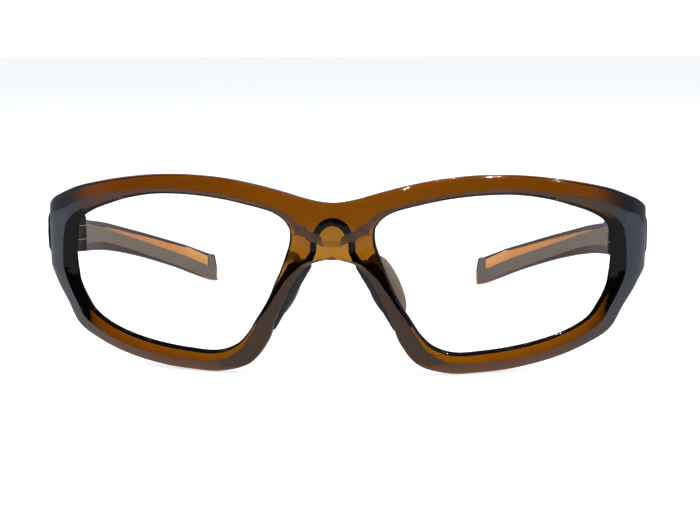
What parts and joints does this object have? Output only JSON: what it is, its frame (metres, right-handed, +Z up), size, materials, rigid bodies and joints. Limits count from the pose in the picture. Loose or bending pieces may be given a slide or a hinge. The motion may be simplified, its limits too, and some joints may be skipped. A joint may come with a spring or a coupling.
{
  "type": "glacier glasses",
  "caption": "Wrap-around mountain spectacles: one-piece curved translucent front with clear lenses, nose pads on dark carriers and folding temples on three-barrel hinges.",
  "frame": {"origin": "on the table, at the middle of the footprint of the open glasses as they stand on the rims and the temple tips", "axes": "+Z up, -Y the way the lenses look, +X the wearer's left"},
  "size_m": [0.1449, 0.147, 0.0448],
  "materials": {
    "crystal_nylon": "glossy translucent brown moulded nylon",
    "clear_lens": "clear hard-coated polycarbonate",
    "dark_rubber": "satin dark slate rubber",
    "pad_silicone": "translucent grey-brown silicone",
    "hinge_steel": "stamped stainless steel",
    "screw_steel": "turned stainless steel",
    "washer_nylon": "natural nylon",
    "grip_rubber": "matt taupe rubber"
  },
  "bodies": {
    "front": {"front_frame": "crystal_nylon", "lens_left": "clear_lens", "lens_right": "clear_lens", "nose_pad_carrier_left": "dark_rubber", "nose_pad_carrier_right": "dark_rubber", "nose_pad_left": "pad_silicone", "nose_pad_right": "pad_silicone", "front_hinge_left": "hinge_steel", "front_hinge_right": "hinge_steel", "front_hinge_screws_left": "screw_steel", "front_hinge_screws_right": "screw_steel", "hinge_pin_screw_left": "screw_steel", "hinge_pin_screw_right": "screw_steel", "hinge_washers_left": "washer_nylon", "hinge_washers_right": "washer_nylon"},
    "temple_left": {"temple_arm_left": "crystal_nylon", "temple_grip_left": "grip_rubber", "temple_hinge_left": "hinge_steel", "temple_hinge_screws_left": "screw_steel"},
    "temple_right": {"temple_arm_right": "crystal_nylon", "temple_grip_right": "grip_rubber", "temple_hinge_right": "hinge_steel", "temple_hinge_screws_right": "screw_steel"}
  },
  "joints": [
    {"name": "fold_left", "type": "hinge", "parent": "front", "child": "temple_left", "pos_m": [0.064, -0.0405, 0.02855], "axis": [0, 0, 1], "range_deg": [-9.2, 74.8]},
    {"name": "fold_right", "type": "hinge", "parent": "front", "child": "temple_right", "pos_m": [-0.064, -0.0405, 0.02855], "axis": [0, 0, -1], "range_deg": [0, 76]}
  ]
}
